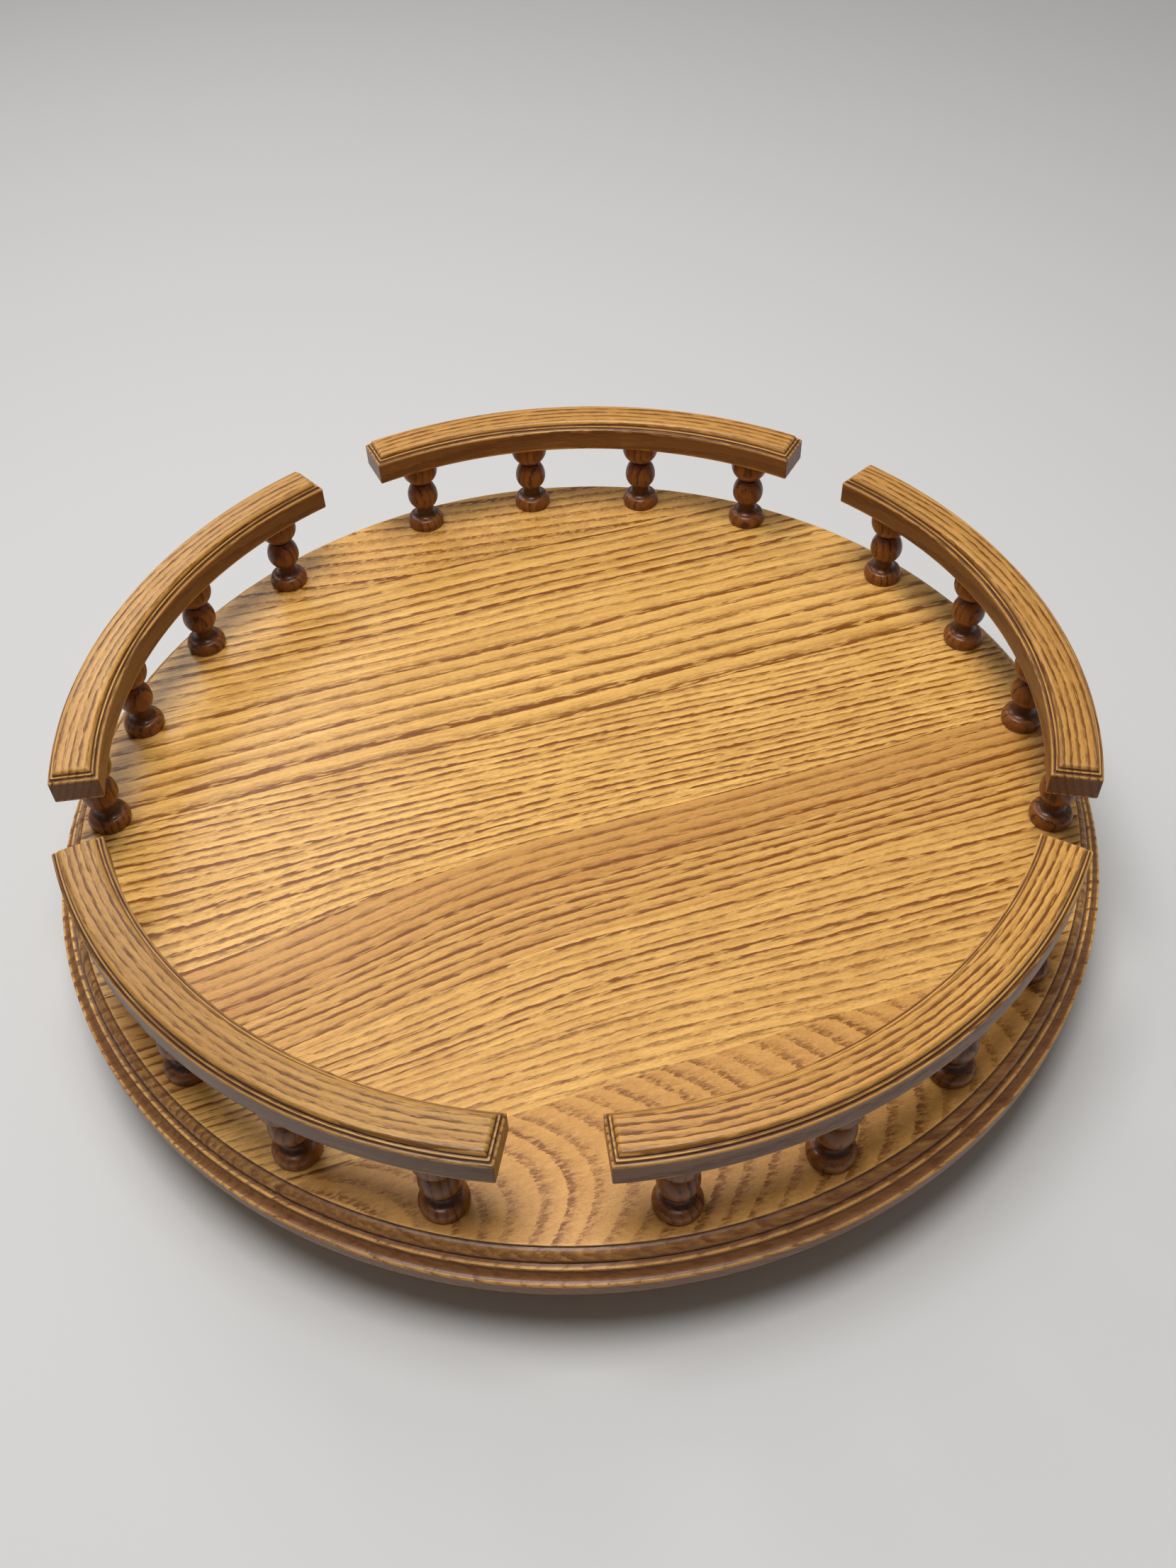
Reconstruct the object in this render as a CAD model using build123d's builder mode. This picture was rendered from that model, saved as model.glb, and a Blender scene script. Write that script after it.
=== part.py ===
"""A round wooden turntable tray with a spindle gallery, on a ball-bearing swivel and a footed base.

Millimetres. The origin is on the floor under the centre; +Z is up and is the axis the tray turns
about. The middle of rail 1 is on +Y, and the other rails follow anticlockwise from above.
"""

from build123d import *
from math import cos, radians, sin, sqrt
import os

# Tray board and the moulding routed round its edge, from the flat top outwards and down
tray_diameter = 457.2
tray_thickness = 19.0
tray_bottom_round = 2.5
tray_edge = {"step": 1.2, "ovolo": 3.8, "drop": 0.8, "ledge": 2.3, "wall": 1.8, "cove": 3.0, "lip": 0.9}

# Gallery rails: curved pieces with the same kind of moulding, cut shallower, on all four sides
rail_count = 5
rail_width = 20.2
rail_thickness = 15.0
rail_edge_inset = 12.1
rail_gap_angle = 9.7
rail_end_skew = 4.2
rail_edge = {"step": 0.0, "ovolo": 1.6, "drop": 0.7, "ledge": 1.1, "wall": 0.5, "cove": 0.7, "lip": 0.8}
rail_bottom_round = 0.8

# Turned spindles: radii from the tray up, and levels as shares of the height between tray and rail
spindles_per_rail = 4
spindle_end_angle = 6.625
spindle_height = 39.4
bun_foot_radius = 8.7
bun_radius = 9.3
bun_top_radius = 8.4
shoulder_radius = 7.2
lower_neck_radius = 4.4
ball_radius = 7.85
upper_neck_radius = 4.0
top_bun_inset = 0.9
top_bun_seat_step = 0.4
bun_widest_share = 0.0673
bun_top_share = 0.1345
shoulder_share = 0.1574
lower_neck_share = 0.2234
ball_share = 0.4645
upper_neck_share = 0.6853
top_bun_share = 0.8782
tenon_radius = 3.2
tenon_length = 7.0
tenon_clearance = 0.05
tenon_end_gap = 0.5

# Base board
base_diameter = 304.8
base_thickness = 19.0
base_edge_round = 3.0
access_hole_radius = 9.5

# Square pressed-steel swivel: two plates, loose balls, and a rim rolled over the upper plate
plate_size = 152.4
plate_corner_radius = 10.0
sheet = 1.2
land_margin = 8.2
land_rise = 2.2
sheet_bend = 0.5
ball_diameter = 4.76
ball_count = 48
race_inset = 12.0
race_clearance = 0.1
race_floor_gap = 0.32
hub_to_race = 16.0
hub_lip_width = 6.0
rim_clearance = 0.3

# Screws
screw_radius = 2.1
screw_tip_radius = 0.7
screw_tip_length = 3.0
screw_head_radius = 3.9
screw_head_gap = 1.2
screw_slot_width = 0.9
screw_slot_depth = 1.1
screw_slot_length = 4.4
pilot_clearance = 0.05
plate_hole_clearance = 0.4
plate_screw_inset = 9.0
plate_screw_length = 12.0
foot_screw_length = 13.0

# Feet
foot_count = 4
foot_inset = 25.0
foot_height = 6.0
foot_top_radius = 11.0
foot_bottom_radius = 9.5
foot_edge_round = 1.0
foot_head_depth = 1.0
foot_recess_clearance = 0.6

# Levels and circles that follow from the sizes above
bearing_height = ball_diameter + 2 * (race_clearance + sheet + race_floor_gap)
base_bottom = foot_height
base_top = base_bottom + base_thickness
tray_bottom = base_top + bearing_height
tray_top = tray_bottom + tray_thickness
rail_bottom = tray_top + spindle_height
rail_top = rail_bottom + rail_thickness
tray_radius = tray_diameter / 2
rail_outer_radius = tray_radius - rail_edge_inset
rail_inner_radius = rail_outer_radius - rail_width
rail_circle_radius = rail_outer_radius - rail_width / 2
rail_half_span = 180 / rail_count - rail_gap_angle / 2
spindle_pitch = 2 * (rail_half_span - spindle_end_angle) / (spindles_per_rail - 1)
top_bun_radius = rail_width / 2 - top_bun_inset
tenon_hole_radius = tenon_radius + tenon_clearance
tenon_hole_depth = tenon_length + tenon_end_gap
pilot_radius = screw_radius + pilot_clearance
plate_hole_radius = screw_radius + plate_hole_clearance
plate_screw_offset = plate_size / 2 - plate_screw_inset
plate_screw_spacing = 2 * plate_screw_offset
screw_head_height = (bearing_height - 2 * sheet - screw_head_gap) / 2
foot_recess_depth = screw_head_height + foot_head_depth
land_radius = plate_size / 2 - land_margin
ball_circle_radius = land_radius - race_inset
hub_radius = ball_circle_radius - hub_to_race
hub_lip_radius = hub_radius + hub_lip_width
ball_level = base_top + bearing_height / 2
race_radius = ball_diameter / 2 + race_clearance
upper_hole_radius = hub_radius + sheet + rim_clearance
foot_circle_radius = base_diameter / 2 - foot_inset
first_rail_angle = 90.0
arc_middle = sqrt(0.5)
cutter_overrun = 2.0
near = 0.01
up = 1
down = -1

os.makedirs("parts", exist_ok=True)


def save(piece, name):
    """Label a finished piece and write it as a STEP file of that name."""
    piece.label = name
    export_step(piece, f"parts/{name}.step")


def polar(radius, angle):
    """A point on a circle about the turning axis, by its angle in degrees."""
    return (radius * cos(radians(angle)), radius * sin(radians(angle)))


def upright_plane(point, facing, rise=up):
    """An upright plane at a point: its x runs along `facing` in degrees, its y up or down."""
    c, s = polar(1, facing)
    return Plane(origin=point, x_dir=(c, s, 0), z_dir=(s * rise, -c * rise, 0))


def routed_waste(edge, face, top, outward=1):
    """The section that the moulding cutter removes at a side face, below a flat top."""
    run = edge["ovolo"] + edge["ledge"] + edge["cove"] + edge["lip"]
    ovolo_end = edge["step"] + edge["ovolo"]
    ledge_depth = ovolo_end + edge["drop"]
    wall_at = edge["ovolo"] + edge["ledge"]
    cove_start = ledge_depth + edge["wall"]
    cove_at = wall_at + edge["cove"]
    cove_end = cove_start + edge["cove"]
    depth = cove_end + edge["lip"]
    short = 1 - arc_middle

    def at(across, below):
        return (face + outward * (across - run), top - below)

    with BuildSketch() as waste:
        with BuildLine():
            if edge["step"] > 0:
                Line(at(0, 0), at(0, edge["step"]))
            ThreePointArc(
                at(0, edge["step"]),
                at(edge["ovolo"] * arc_middle, edge["step"] + edge["ovolo"] * short),
                at(edge["ovolo"], ovolo_end),
            )
            Polyline(at(edge["ovolo"], ovolo_end), at(edge["ovolo"], ledge_depth),
                     at(wall_at, ledge_depth), at(wall_at, cove_start))
            ThreePointArc(
                at(wall_at, cove_start),
                at(wall_at + edge["cove"] * short, cove_start + edge["cove"] * arc_middle),
                at(cove_at, cove_end),
            )
            ThreePointArc(
                at(cove_at, cove_end),
                at(cove_at + edge["lip"] * arc_middle, cove_end + edge["lip"] * short),
                at(run, depth),
            )
            Polyline(at(run, depth), at(run + cutter_overrun, depth),
                     at(run + cutter_overrun, -cutter_overrun), at(0, -cutter_overrun), at(0, 0))
        make_face()
    return waste.sketch


def rail_angle(rail):
    return first_rail_angle + (rail - 1) * 360 / rail_count


def spindle_offset(spindle):
    """The angle from the middle of a rail to one of its spindles."""
    return (spindle - (spindles_per_rail + 1) / 2) * spindle_pitch


def screws(points, seat, rise, length):
    """Pan-head screws: the undersides of their heads at `seat`, their shanks running up or down."""
    head_end = seat - rise * screw_head_height
    with BuildPart() as group:
        for x, y in points:
            with BuildSketch(upright_plane((x, y, seat), 0, rise)):
                with BuildLine():
                    TangentArc((0, -screw_head_height), (screw_head_radius, -screw_head_height / 2),
                               tangent=(1, 0))
                    Polyline((screw_head_radius, -screw_head_height / 2), (screw_head_radius, 0),
                             (screw_radius, 0), (screw_radius, length - screw_tip_length),
                             (screw_tip_radius, length), (0, length), (0, -screw_head_height))
                make_face()
            revolve(axis=Axis((x, y, seat), (0, 0, 1)))
            with BuildSketch(Plane(origin=(x, y, head_end), x_dir=(1, 0, 0), z_dir=(0, 0, rise))):
                Rectangle(screw_slot_length, screw_slot_width)
                Rectangle(screw_slot_width, screw_slot_length)
            extrude(amount=screw_slot_depth, mode=Mode.SUBTRACT)
    return group.part


spindle_points = [
    polar(rail_circle_radius, rail_angle(rail) + spindle_offset(spindle))
    for rail in range(1, rail_count + 1)
    for spindle in range(1, spindles_per_rail + 1)
]
plate_screw_points = [
    (x * plate_screw_offset, y * plate_screw_offset) for x in (-1, 1) for y in (-1, 1)
]
foot_points = [polar(foot_circle_radius, (k + 0.5) * 360 / foot_count) for k in range(foot_count)]

# Tray board: a disc with a routed edge, blind holes for the spindles and pilot holes underneath
with BuildPart() as tray_board:
    with BuildSketch(Plane.XY.offset(tray_bottom)):
        Circle(tray_radius)
    extrude(amount=tray_thickness)
    with BuildSketch(Plane.XZ):
        add(routed_waste(tray_edge, tray_radius, tray_top))
    revolve(axis=Axis.Z, mode=Mode.SUBTRACT)
    fillet(tray_board.edges().group_by(Axis.Z)[0], radius=tray_bottom_round)
    with BuildSketch(Plane.XY.offset(tray_top)):
        with Locations(*spindle_points):
            Circle(tenon_hole_radius)
    extrude(amount=-tenon_hole_depth, mode=Mode.SUBTRACT)
    with BuildSketch(Plane.XY.offset(tray_bottom)):
        with Locations(*plate_screw_points):
            Circle(pilot_radius)
    extrude(amount=plate_screw_length, mode=Mode.SUBTRACT)
save(tray_board.part, "tray_board")

# Rails: a slice of a ring with skewed ends, moulded along both sides and across both ends
for rail in range(1, rail_count + 1):
    middle = rail_angle(rail)
    rail_plane = Plane(origin=(0, 0, rail_bottom), x_dir=(*polar(1, middle), 0), z_dir=(0, 0, 1))
    end_x, end_y = polar(rail_circle_radius, rail_half_span)
    cut_x, cut_y = polar(rail_width, rail_half_span - rail_end_skew)
    beyond = rail_outer_radius + rail_width
    with BuildPart() as gallery_rail:
        with BuildSketch(rail_plane):
            Circle(rail_outer_radius)
            Circle(rail_inner_radius, mode=Mode.SUBTRACT)
            with BuildLine():
                Polyline((end_x - cut_x, end_y - cut_y), (end_x + cut_x, end_y + cut_y),
                         (beyond, end_y + cut_y), (beyond, -end_y - cut_y),
                         (end_x + cut_x, -end_y - cut_y), (end_x - cut_x, cut_y - end_y), close=True)
            make_face(mode=Mode.INTERSECT)
        extrude(amount=rail_thickness)
        fillet(gallery_rail.edges().group_by(Axis.Z)[0], radius=rail_bottom_round)
        for side in (-1, 1):
            end_point = polar(rail_circle_radius, middle + side * rail_half_span)
            end_facing = middle + side * (rail_half_span - rail_end_skew + 90)
            with BuildSketch(upright_plane((*end_point, 0), end_facing)):
                add(routed_waste(rail_edge, 0, rail_top))
            extrude(amount=rail_width, both=True, mode=Mode.SUBTRACT)
        with BuildSketch(upright_plane((0, 0, 0), middle)):
            add(routed_waste(rail_edge, rail_outer_radius, rail_top))
            add(routed_waste(rail_edge, rail_inner_radius, rail_top, outward=-1))
        revolve(axis=Axis.Z, mode=Mode.SUBTRACT)
        with BuildSketch(rail_plane):
            with Locations(*[polar(rail_circle_radius, spindle_offset(spindle))
                             for spindle in range(1, spindles_per_rail + 1)]):
                Circle(tenon_hole_radius)
        extrude(amount=tenon_hole_depth, mode=Mode.SUBTRACT)
    save(gallery_rail.part, f"rail_{rail}")

# Spindles: a bun on the tray, a neck, a ball, an upper neck and a bun under the rail
bun_foot = (bun_foot_radius, 0)
bun_widest = (bun_radius, bun_widest_share * spindle_height)
bun_top = (bun_top_radius, bun_top_share * spindle_height)
shoulder = (shoulder_radius, shoulder_share * spindle_height)
lower_neck = (lower_neck_radius, lower_neck_share * spindle_height)
ball_widest = (ball_radius, ball_share * spindle_height)
ball_foot = (lower_neck_radius, ball_widest[1] - sqrt(ball_radius**2 - lower_neck_radius**2))
upper_neck = (upper_neck_radius, upper_neck_share * spindle_height)
top_bun = (top_bun_radius, top_bun_share * spindle_height)
top_seat = (top_bun_radius - top_bun_seat_step, spindle_height)
for rail in range(1, rail_count + 1):
    for spindle in range(1, spindles_per_rail + 1):
        facing = rail_angle(rail) + spindle_offset(spindle)
        x, y = polar(rail_circle_radius, facing)
        with BuildPart() as gallery_spindle:
            with BuildSketch(upright_plane((x, y, tray_top), facing)):
                with BuildLine():
                    Polyline((0, -tenon_length), (tenon_radius, -tenon_length), (tenon_radius, 0),
                             bun_foot)
                    TangentArc(bun_widest, bun_foot, tangent=(0, down))
                    TangentArc(bun_widest, bun_top, tangent=(0, up))
                    Line(bun_top, shoulder)
                    TangentArc(lower_neck, shoulder, tangent=(0, down))
                    Line(lower_neck, ball_foot)
                    TangentArc(ball_widest, ball_foot, tangent=(0, down))
                    TangentArc(ball_widest, upper_neck, tangent=(0, up))
                    TangentArc(top_bun, upper_neck, tangent=(0, down))
                    TangentArc(top_bun, top_seat, tangent=(0, up))
                    Polyline(top_seat, (tenon_radius, spindle_height),
                             (tenon_radius, spindle_height + tenon_length),
                             (0, spindle_height + tenon_length), (0, -tenon_length))
                make_face()
            revolve(axis=Axis((x, y, 0), (0, 0, 1)))
        save(gallery_spindle.part, f"spindle_{rail}_{spindle}")

# Base board: a smaller disc that stays still, with a hole that lets a driver reach the upper screws
with BuildPart() as base_board:
    with BuildSketch(Plane.XY.offset(base_bottom)):
        Circle(base_diameter / 2)
    extrude(amount=base_thickness)
    fillet(base_board.edges(), radius=base_edge_round)
    with BuildSketch(Plane.XY.offset(base_bottom)):
        with Locations((0, -sqrt(2) * plate_screw_offset)):
            Circle(access_hole_radius)
    extrude(amount=base_thickness, mode=Mode.SUBTRACT)
    with BuildSketch(Plane.XY.offset(base_top)):
        with Locations(*plate_screw_points):
            Circle(pilot_radius)
    extrude(amount=-plate_screw_length, mode=Mode.SUBTRACT)
    with BuildSketch(Plane.XY.offset(base_bottom)):
        with Locations(*foot_points):
            Circle(pilot_radius)
    extrude(amount=foot_screw_length - foot_height + foot_recess_depth, mode=Mode.SUBTRACT)
save(base_board.part, "base_board")

# Lower swivel plate: corners flat on the base, a raised land with the ball race, and a hub whose
# rim is rolled out over the upper plate
land_top = base_top + land_rise + sheet
hub_top = base_top + bearing_height - land_rise + rim_clearance
with BuildPart() as bearing_lower_plate:
    with BuildSketch(Plane.XY.offset(base_top)):
        RectangleRounded(plate_size, plate_size, plate_corner_radius)
        Circle(land_radius, mode=Mode.SUBTRACT)
        with GridLocations(plate_screw_spacing, plate_screw_spacing, 2, 2):
            Circle(plate_hole_radius, mode=Mode.SUBTRACT)
    extrude(amount=sheet)
    with BuildSketch(Plane.XZ) as section:
        with BuildLine():
            Polyline((hub_radius, base_top + land_rise), (land_radius, base_top + land_rise),
                     (land_radius, base_top), (land_radius + sheet, base_top),
                     (land_radius + sheet, land_top), (hub_radius + sheet, land_top),
                     (hub_radius + sheet, hub_top), (hub_lip_radius, hub_top),
                     (hub_lip_radius, hub_top + sheet), (hub_radius, hub_top + sheet), close=True)
        make_face()
        outer_bends = section.vertices().filter_by(
            lambda v: v.Y > land_top - near and (v.X < hub_radius + near or v.X > land_radius))
        fillet(outer_bends, radius=sheet_bend)
    revolve(axis=Axis.Z)
    with BuildSketch(Plane.XZ):
        with Locations((ball_circle_radius, ball_level)):
            Circle(race_radius + sheet)
            Rectangle(2 * plate_size, 2 * (ball_level - land_top), align=(Align.CENTER, Align.CENTER),
                      mode=Mode.SUBTRACT)
        with Locations((ball_circle_radius, ball_level)):
            Rectangle(2 * race_radius + 2 * sheet, bearing_height,
                      align=(Align.CENTER, Align.MIN), mode=Mode.SUBTRACT)
    revolve(axis=Axis.Z)
    with BuildSketch(Plane.XZ):
        with Locations((ball_circle_radius, ball_level)):
            Circle(race_radius)
    revolve(axis=Axis.Z, mode=Mode.SUBTRACT)
save(bearing_lower_plate.part, "bearing_lower_plate")

# Upper swivel plate: the same pressing upside down, its inner rim held under the rolled rim
upper_land_bottom = tray_bottom - land_rise - sheet
with BuildPart() as bearing_upper_plate:
    with BuildSketch(Plane.XY.offset(tray_bottom - sheet)):
        RectangleRounded(plate_size, plate_size, plate_corner_radius)
        Circle(land_radius, mode=Mode.SUBTRACT)
        with GridLocations(plate_screw_spacing, plate_screw_spacing, 2, 2):
            Circle(plate_hole_radius, mode=Mode.SUBTRACT)
    extrude(amount=sheet)
    with BuildSketch(Plane.XZ) as section:
        with BuildLine():
            Polyline((upper_hole_radius, tray_bottom - land_rise), (land_radius, tray_bottom - land_rise),
                     (land_radius, tray_bottom), (land_radius + sheet, tray_bottom),
                     (land_radius + sheet, upper_land_bottom), (upper_hole_radius, upper_land_bottom),
                     close=True)
        make_face()
        outer_bend = section.vertices().filter_by(
            lambda v: v.Y < upper_land_bottom + near and v.X > land_radius)
        fillet(outer_bend, radius=sheet_bend)
    revolve(axis=Axis.Z)
    with BuildSketch(Plane.XZ):
        with Locations((ball_circle_radius, ball_level)):
            Circle(race_radius + sheet)
            Rectangle(2 * plate_size, 2 * (upper_land_bottom - ball_level),
                      align=(Align.CENTER, Align.CENTER), mode=Mode.SUBTRACT)
        with Locations((ball_circle_radius, ball_level)):
            Rectangle(2 * race_radius + 2 * sheet, bearing_height,
                      align=(Align.CENTER, Align.MAX), mode=Mode.SUBTRACT)
    revolve(axis=Axis.Z)
    with BuildSketch(Plane.XZ):
        with Locations((ball_circle_radius, ball_level)):
            Circle(race_radius)
    revolve(axis=Axis.Z, mode=Mode.SUBTRACT)
save(bearing_upper_plate.part, "bearing_upper_plate")

# Loose balls, evenly spaced in the race
with BuildPart(Plane.XY.offset(ball_level)) as bearing_balls:
    with PolarLocations(ball_circle_radius, ball_count):
        Sphere(ball_diameter / 2)
save(bearing_balls.part, "bearing_balls")

# Screws: up through the upper plate into the tray, down through the lower plate into the base
save(screws(plate_screw_points, tray_bottom - sheet, up, plate_screw_length), "tray_screws")
save(screws(plate_screw_points, base_top + sheet, down, plate_screw_length), "base_screws")

# Feet: tapered rubber buffers, each with a recessed screw up into the base
foot_hole_radius = screw_radius + plate_hole_clearance
foot_recess_radius = screw_head_radius + foot_recess_clearance
for number, (x, y) in enumerate(foot_points, start=1):
    with BuildPart() as foot:
        with BuildSketch(upright_plane((x, y, 0), 0)) as section:
            with BuildLine():
                Polyline((foot_recess_radius, 0), (foot_bottom_radius, 0), (foot_top_radius, foot_height),
                         (foot_hole_radius, foot_height), (foot_hole_radius, foot_recess_depth),
                         (foot_recess_radius, foot_recess_depth), close=True)
            make_face()
            fillet(section.vertices().group_by(Axis.Y)[0].sort_by(Axis.X)[-1], radius=foot_edge_round)
        revolve(axis=Axis((x, y, 0), (0, 0, 1)))
    save(foot.part, f"foot_{number}")

save(screws(foot_points, foot_recess_depth, up, foot_screw_length), "foot_screws")
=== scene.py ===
"""Looks for the oak turntable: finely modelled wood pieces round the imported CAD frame.

Lengths are in metres, in the frame's own axes: +Z up is the turning axis, and rail 1 is on +Y.
Profiles are drawn in millimetres and scaled by MM.
"""
from math import atan2, cos, hypot, pi, radians, sin, sqrt

import bpy
from mathutils import Matrix, Vector


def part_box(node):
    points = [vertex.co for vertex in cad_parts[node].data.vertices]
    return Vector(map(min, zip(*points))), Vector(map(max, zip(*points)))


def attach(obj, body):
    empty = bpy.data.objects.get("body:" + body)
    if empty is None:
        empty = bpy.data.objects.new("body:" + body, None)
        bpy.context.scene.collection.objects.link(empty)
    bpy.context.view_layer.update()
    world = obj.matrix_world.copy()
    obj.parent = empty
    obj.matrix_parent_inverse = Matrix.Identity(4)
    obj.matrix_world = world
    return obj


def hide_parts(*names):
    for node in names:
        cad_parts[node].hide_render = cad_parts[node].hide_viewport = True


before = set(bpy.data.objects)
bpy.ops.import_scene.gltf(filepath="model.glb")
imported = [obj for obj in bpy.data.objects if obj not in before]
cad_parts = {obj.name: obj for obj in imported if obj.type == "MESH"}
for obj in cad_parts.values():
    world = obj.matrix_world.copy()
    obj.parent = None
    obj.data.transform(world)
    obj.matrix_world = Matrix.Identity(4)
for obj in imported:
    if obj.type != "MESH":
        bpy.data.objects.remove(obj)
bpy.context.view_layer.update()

MM = 0.001

# Sizes read from the frame
TRAY_LOW, TRAY_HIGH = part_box("tray_board")
RAIL_LOW, RAIL_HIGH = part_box("rail_1")
TRAY_RADIUS = TRAY_HIGH.x
RAIL_OUTER = RAIL_HIGH.y
SPINDLE_HEIGHT = RAIL_LOW.z - TRAY_HIGH.z

# Sizes that the design sets, in millimetres: the mouldings, the rails and the spindles
TRAY_EDGE = {"step": 1.2, "ovolo": 3.8, "drop": 0.8, "ledge": 2.3, "wall": 1.8, "cove": 3.0, "lip": 0.9}
RAIL_EDGE = {"step": 0.0, "ovolo": 1.6, "drop": 0.7, "ledge": 1.1, "wall": 0.5, "cove": 0.7, "lip": 0.8}
TRAY_BOTTOM_ROUND = 2.5
RAIL_BOTTOM_ROUND = 0.8
RAIL_COUNT = 5
RAIL_WIDTH = 20.2
RAIL_HALF_SPAN = radians(31.15)
RAIL_END_SKEW = radians(4.2)
SPINDLES_PER_RAIL = 4
SPINDLE_PITCH = radians(16.35)
RAIL_CIRCLE = RAIL_OUTER / MM - RAIL_WIDTH / 2
TRAY_SEGMENTS = 512
SPINDLE_SEGMENTS = 72
PORE_DEPTH = 0.06

# Looks: how much darker the routed faces are made, partly finish that soaked in and partly painted shade,
# then each rail's brightness, partly its own board and partly painted light and shade, and how its grain
# drifts across it
ROUTED_STAIN_AND_SHADE = 0.45
RAIL_TONES_AND_SHADING = (1.1, 1.0, 0.83, 1.12, 1.0)
GRAIN_DRIFT = (0.022, -0.03, 0.015, -0.02, 0.03)


# ---------------------------------------------------------------- profiles

def arc_points(start, direction, end, steps):
    """Points on the circle that leaves `start` along `direction` and reaches `end`."""
    across = Vector((-direction[1], direction[0])).normalized()
    chord = Vector(end) - Vector(start)
    reach = chord.length_squared / (2 * chord.dot(across))
    centre = Vector(start) + across * reach
    first = atan2(start[1] - centre.y, start[0] - centre.x)
    last = atan2(end[1] - centre.y, end[0] - centre.x)
    turn = last - first
    if reach > 0 and turn < 0:
        turn += 2 * pi
    if reach < 0 and turn > 0:
        turn -= 2 * pi
    radius = abs(reach)
    angles = [first + turn * k / steps for k in range(steps + 1)]
    return [(centre.x + radius * cos(angle), centre.y + radius * sin(angle)) for angle in angles]


def bend_between(start, corner, end, share):
    """A point on the smooth curve that leaves `start` towards `corner` and turns in to `end`."""
    return start * (1 - share) ** 2 + corner * 2 * share * (1 - share) + end * share * share


def soften(points, size, limit=radians(24)):
    """Rounds each sharp corner of an open outline over about `size`, and leaves its arcs alone."""
    rounded = [points[0]]
    for before, here, after in zip(points, points[1:], points[2:]):
        back = Vector(before) - Vector(here)
        ahead = Vector(after) - Vector(here)
        if pi - back.angle(ahead) < limit:
            rounded.append(here)
            continue
        near = Vector(here) + back.normalized() * min(size, back.length * 0.45)
        far = Vector(here) + ahead.normalized() * min(size, ahead.length * 0.45)
        rounded += [tuple(bend_between(near, Vector(here), far, k / 4)) for k in range(5)]
    rounded.append(points[-1])
    return rounded


def support(points, reach=0.8):
    """Adds points `reach` inside both ends of each long side, which keeps an edge's sign beside that edge."""
    supported = [points[0]]
    for start, end in zip(points, points[1:]):
        length = (Vector(end) - Vector(start)).length
        if length > 2.5 * reach:
            supported.append(tuple(Vector(start).lerp(Vector(end), reach / length)))
            supported.append(tuple(Vector(start).lerp(Vector(end), 1 - reach / length)))
        supported.append(end)
    return supported


def edge_signs(outline, reach=0.7, stained_and_shaded=lambda point: False):
    """How far each point of an outline is down in a groove (to -1) or out on an edge (to 1).

    The outline goes anticlockwise round its material. Routed faces, picked by the last argument, are made
    darker: partly finish that soaked in deeper, partly painted shade."""
    turns = [0.0]
    for before, here, after in zip(outline, outline[1:], outline[2:]):
        back, ahead = Vector(here) - Vector(before), Vector(after) - Vector(here)
        turns.append(atan2(back.x * ahead.y - back.y * ahead.x, back.dot(ahead)))
    turns.append(0.0)
    signs = []
    for here in outline:
        near = sum(turn * max(0.0, 1 - (Vector(there) - Vector(here)).length / reach)
                   for there, turn in zip(outline, turns))
        signs.append(max(-1.0, min(1.0, near / 1.2 - (ROUTED_STAIN_AND_SHADE if stained_and_shaded(here) else 0.0))))
    return signs


def moulding(edge, steps=8):
    """The routed edge as (inset from the side face, depth below the flat), from the flat outwards."""
    run = edge["ovolo"] + edge["ledge"] + edge["cove"] + edge["lip"]
    ovolo_end = edge["step"] + edge["ovolo"]
    ledge_depth = ovolo_end + edge["drop"]
    wall_at = edge["ovolo"] + edge["ledge"]
    cove_start = ledge_depth + edge["wall"]
    cove_at = wall_at + edge["cove"]
    cove_end = cove_start + edge["cove"]
    points = [(0, 0)]
    if edge["step"] > 0:
        points.append((0, edge["step"]))
    points += arc_points((0, edge["step"]), (1, 0), (edge["ovolo"], ovolo_end), steps)[1:]
    points += [(edge["ovolo"], ledge_depth), (wall_at, ledge_depth), (wall_at, cove_start)]
    points += arc_points((wall_at, cove_start), (0, 1), (cove_at, cove_end), steps)[1:]
    points += arc_points((cove_at, cove_end), (1, 0), (run, cove_end + edge["lip"]), steps)[1:]
    return [(run - across, depth) for across, depth in points]


def spindle_profile():
    """Half section of a turned spindle, in millimetres: radius and height above the tray."""
    height = SPINDLE_HEIGHT / MM
    upper_neck = height - 12.4
    top_widest = height - 4.8
    ball, ball_centre, lower_neck, neck = 7.85, 18.3, 4.4, 4.0
    ball_start = ball_centre - sqrt(ball ** 2 - lower_neck ** 2)
    points = [(0, 0), (8.7, 0)]
    points += arc_points((8.7, 0), (0.42, 1), (9.3, 2.65), 6)[1:]
    points += arc_points((9.3, 2.65), (0, 1), (8.4, 5.3), 6)[1:]
    points += arc_points((8.4, 5.3), (-0.6, 1), (7.2, 6.2), 5)[1:]
    points += arc_points((7.2, 6.2), (-1, 0.12), (lower_neck, 8.8), 7)[1:]
    points += [(lower_neck, ball_start)]
    points += arc_points((lower_neck, ball_start), (ball_centre - ball_start, lower_neck),
                         (ball, ball_centre), 14)[1:]
    points += arc_points((ball, ball_centre), (0, 1), (neck, upper_neck), 14)[1:]
    points += list(reversed(arc_points((9.2, top_widest), (0, -1), (neck, upper_neck), 14)))[1:]
    points += arc_points((9.2, top_widest), (0, 1), (8.8, height), 6)[1:]
    points += [(0, height)]
    return points


# ---------------------------------------------------------------- meshes

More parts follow.
